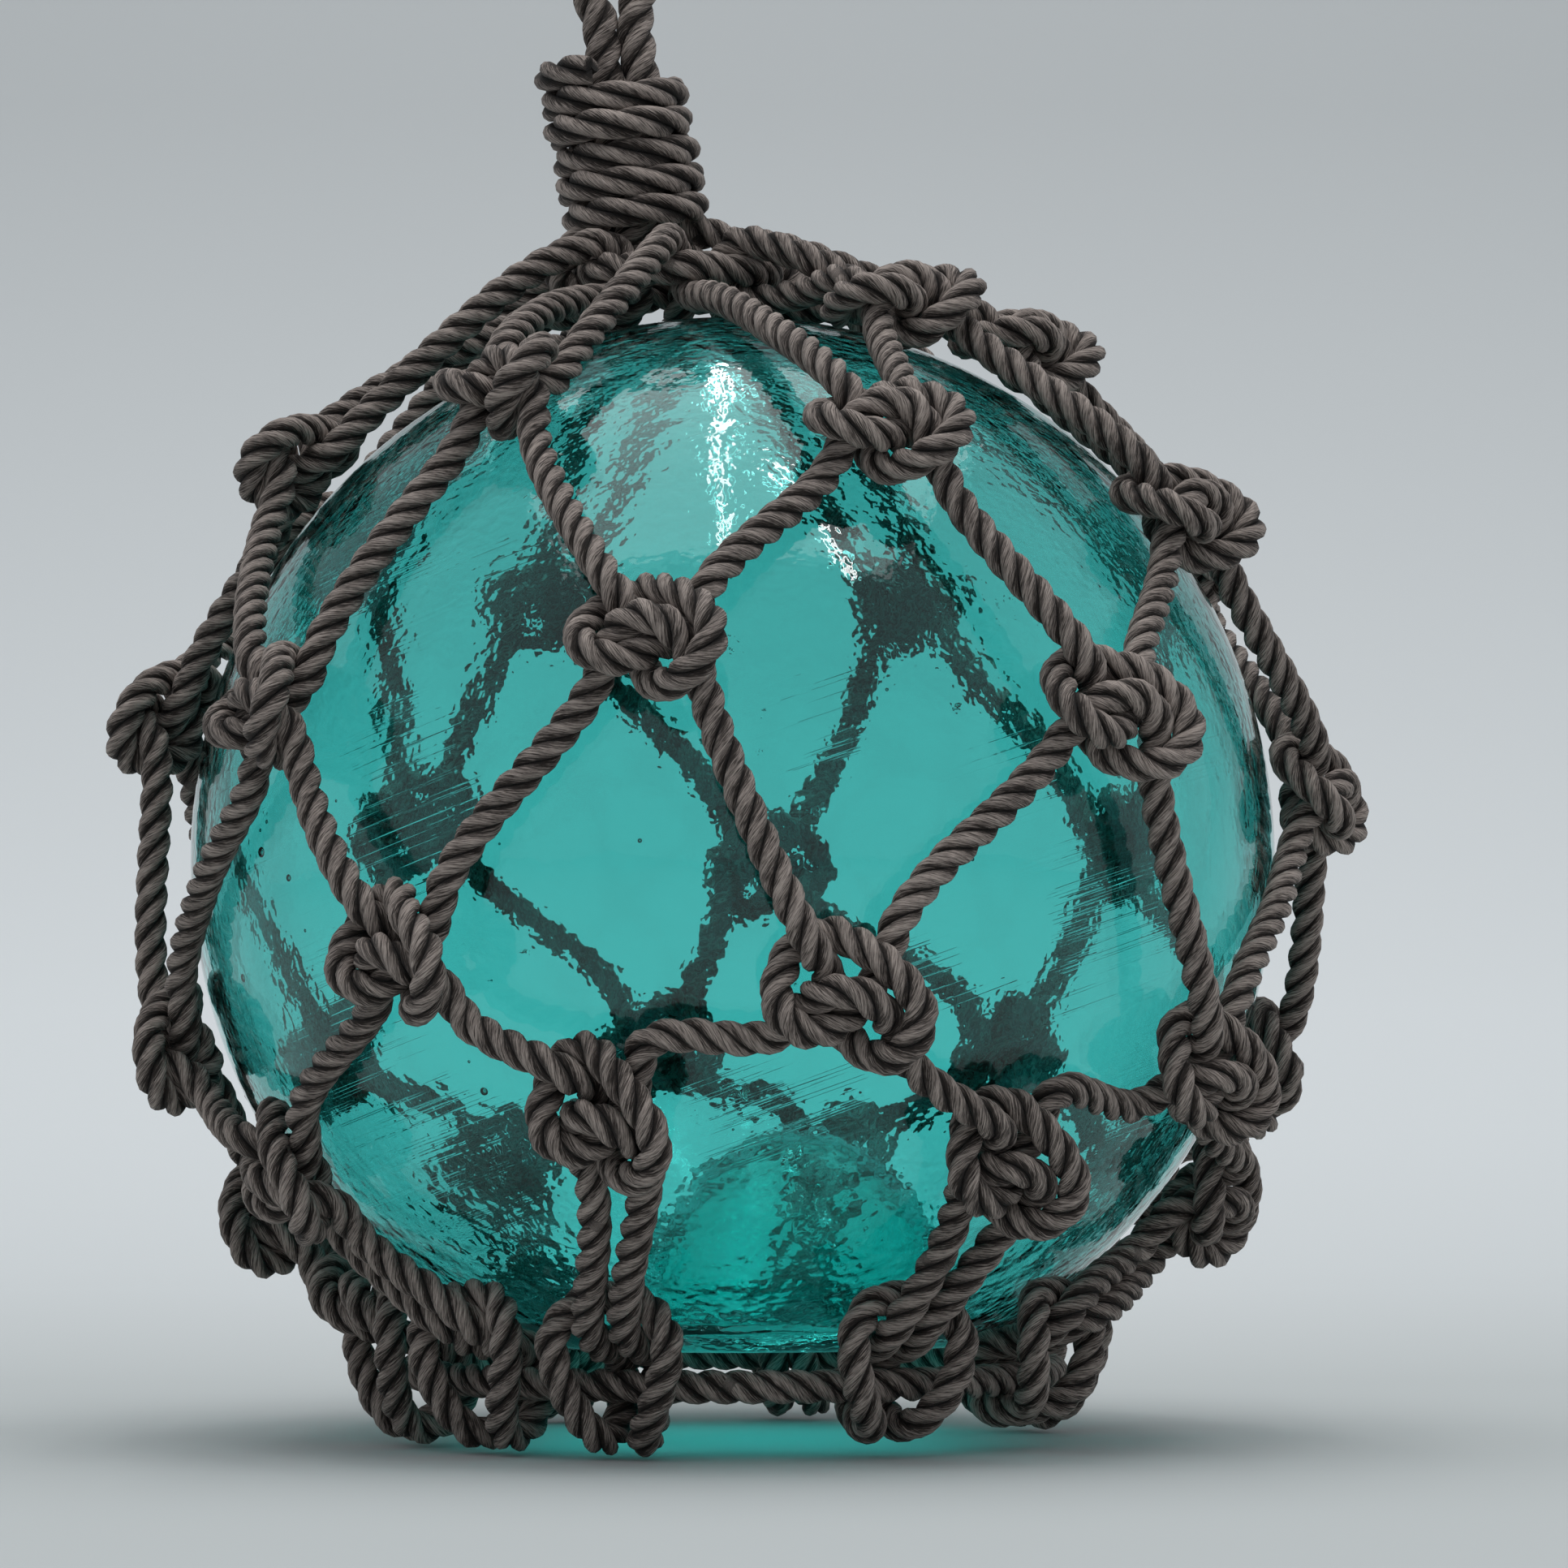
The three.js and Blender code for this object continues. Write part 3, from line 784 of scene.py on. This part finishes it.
def makeGlass(finish):
    mesh = bpy.data.meshes.new("float_glass")
    vertices, faces = [], []
    outer = loft(glassRings(0.0), ball["segments"], False)
    inner = loft(glassRings(ball["wall"]), ball["segments"], True)
    for points, sides in [outer, inner] + makeSeeds():
        base = len(vertices)
        vertices += [Vector(point) + centre for point in points]
        faces += [[i + base for i in side] for side in sides]
    mesh.from_pydata(vertices, [], faces)
    mesh.shade_smooth()
    mesh.materials.append(finish)
    mesh.validate()
    piece = bpy.data.objects.new("float_glass", mesh)
    scene.collection.objects.link(piece)
    print("glass", len(mesh.polygons), "faces")
    return piece


# The camera, the floor and the light

camera = {
    "from": (0.0, -1.3932, -0.0716),
    "towards": (0.0141, 0.0, 0.0207),
    "lens": 115.09,
    "sensor": 36,
}
stage = {"front": -3.0, "bend": 1.2, "radius": 0.9, "steps": 12, "height": 4.0, "halfWidth": 4.0}


def makeCamera():
    data = bpy.data.cameras.new("camera")
    data.lens = camera["lens"]
    data.sensor_width = camera["sensor"]
    data.clip_end = 30
    made = bpy.data.objects.new("camera", data)
    made.location = Vector(camera["from"]) + centre
    aim = Vector(camera["towards"]) - Vector(camera["from"])
    made.rotation_euler = aim.to_track_quat("-Z", "Y").to_euler()
    scene.collection.objects.link(made)
    scene.camera = made


def makeStage():
    # a floor that bends up into a wall
    bend, radius, half = stage["bend"], stage["radius"], stage["halfWidth"]
    profile = [(stage["front"], 0.0), (bend, 0.0)]
    for i in range(1, stage["steps"] + 1):
        angle = math.pi / 2 * i / stage["steps"]
        profile.append((bend + radius * math.sin(angle), radius - radius * math.cos(angle)))
    profile.append((bend + radius, stage["height"]))
    vertices, faces = [], []
    for y, z in profile:
        vertices += [(-half, y, z), (half, y, z)]
    for i in range(len(profile) - 1):
        faces.append((2 * i, 2 * i + 1, 2 * i + 3, 2 * i + 2))
    mesh = bpy.data.meshes.new("sweep")
    mesh.from_pydata(vertices, [], faces)
    mesh.shade_smooth()
    mesh.materials.append(paperFinish())
    made = bpy.data.objects.new("sweep", mesh)
    scene.collection.objects.link(made)


def makeLight(name, where, towards, width, length, power, colour):
    data = bpy.data.lights.new(name, "AREA")
    data.shape = "RECTANGLE"
    data.size, data.size_y = width, length
    data.energy, data.color = power, colour
    made = bpy.data.objects.new(name, data)
    made.location = where
    made.rotation_euler = (Vector(towards) - Vector(where)).to_track_quat("-Z", "Y").to_euler()
    scene.collection.objects.link(made)


air = {"colour": (0.80, 0.84, 0.88), "strength": 0.55}
# name, place, aim, width, length, watts and colour
lamps = [
    ("strip_left", (-0.05, -0.1, 1.9), (-0.05, 0.0, 0.2), 0.035, 2.2, 3.2, (1, 1, 1)),
    ("strip_right", (0.42, -0.6, 1.8), (0.3, -0.4, 0.2), 0.035, 1.0, 1.8, (1, 1, 1)),
    ("overhead", (0.0, 0.0, 2.3), (0.0, 0.0, 0.0), 2.4, 2.4, 24, (1, 1, 1)),
    # the teal light that the glass throws on the floor
    ("glow", (0, 0, 0.0255), (0, 0, 0), 0.11, 0.11, 0.018, (0.02, 0.80, 0.74)),
]

world = bpy.data.worlds.new("studio")
world.use_nodes = True
sky = world.node_tree.nodes["Background"].inputs
sky["Color"].default_value = (*air["colour"], 1)
sky["Strength"].default_value = air["strength"]
scene.world = world
scene.view_settings.view_transform = "Standard"

makeCamera()
makeStage()
for lamp in lamps:
    makeLight(*lamp)
print("stage and camera made")

# The pieces

ropeTree = laidRopeTree()
netFinish = ropeFinish()
ropes = settle(netRopes())
for name, lines in ropes.items():
    piece = laidRope(name, lines, netFinish)
    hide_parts("rope_net")
    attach(piece, "root")

angles = np.linspace(0, 2 * math.pi, ropeSize["ringPoints"], endpoint=False)
ringLine = [[0, 0, -ring["drop"]] + ring["radius"] * outward(a) for a in angles]
piece = laidRope("foot_ring", [(ringLine, True)], netFinish)
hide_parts("base_ring")
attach(piece, "root")

whipping = {
    "turns": 5.7, "start": 0.1755, "end": 0.2215, "lay": 0.040,
    "dip": 0.0024,  # how much lower each turn lies in front than behind
    "loose": 0.0011,  # how far the turns stray outwards
    "waves": (1.37, 0.61), "shift": 0.8,  # and how often a turn
    "lean": 0.004,
    "steps": 24,  # points a turn
}
coil = []
steps = round(whipping["turns"] * whipping["steps"])
for i in range(steps + 1):
    angle = 2 * math.pi * i / whipping["steps"]
    middle = neckAt(whipping["start"] + (whipping["end"] - whipping["start"]) * i / steps)
    share = i / steps
    quick, slow = whipping["waves"]
    stray = whipping["loose"] * (math.sin(quick * angle + whipping["shift"]) + math.sin(slow * angle))
    point = middle + east(angle) * (neck["coreRadius"] + size / 2 + stray)
    point[0] -= whipping["lean"] * share
    point[2] += whipping["dip"] * math.sin(angle)
    coil.append(point)
piece = laidRope("whipping", [(coil, False)], netFinish, **{"Lay": whipping["lay"]})
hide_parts("neck_whipping")
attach(piece, "root")

eye = {
    "start": 0.2225, "legSpread": 0.0051, "width": 0.040, "height": 0.084, "flat": 0.005, "step": 0.003,
    "strandRadius": 0.0027, "strandOffset": 0.00275, "lay": 0.026,
}
half, spread = eye["width"] / 2, eye["legSpread"]
# one side of the loop, from inside the whipping to its top
side = [
    (spread, -0.03), (spread, 0.0), (spread, 0.014), (half * 0.55, 0.031),
    (half, 0.052), (half * 0.8, 0.073), (eye["flat"], eye["height"]),
]
outline = [(-x, up) for x, up in side] + side[::-1]
foot = neckAt(eye["start"])
lean = (neckAt(eye["start"] + eye["height"]) - foot) / eye["height"]
loop = smooth([foot + lean * up + np.array([x, 0, 0]) for x, up in outline], False, eye["step"])
piece = laidRope("loop", [(loop, False)], netFinish, **{
    "Strand radius": eye["strandRadius"], "Strand offset": eye["strandOffset"], "Lay": eye["lay"]})
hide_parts("hanging_loop")
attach(piece, "root")

piece = makeGlass(glassFinish())
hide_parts("glass_ball")
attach(piece, "root")
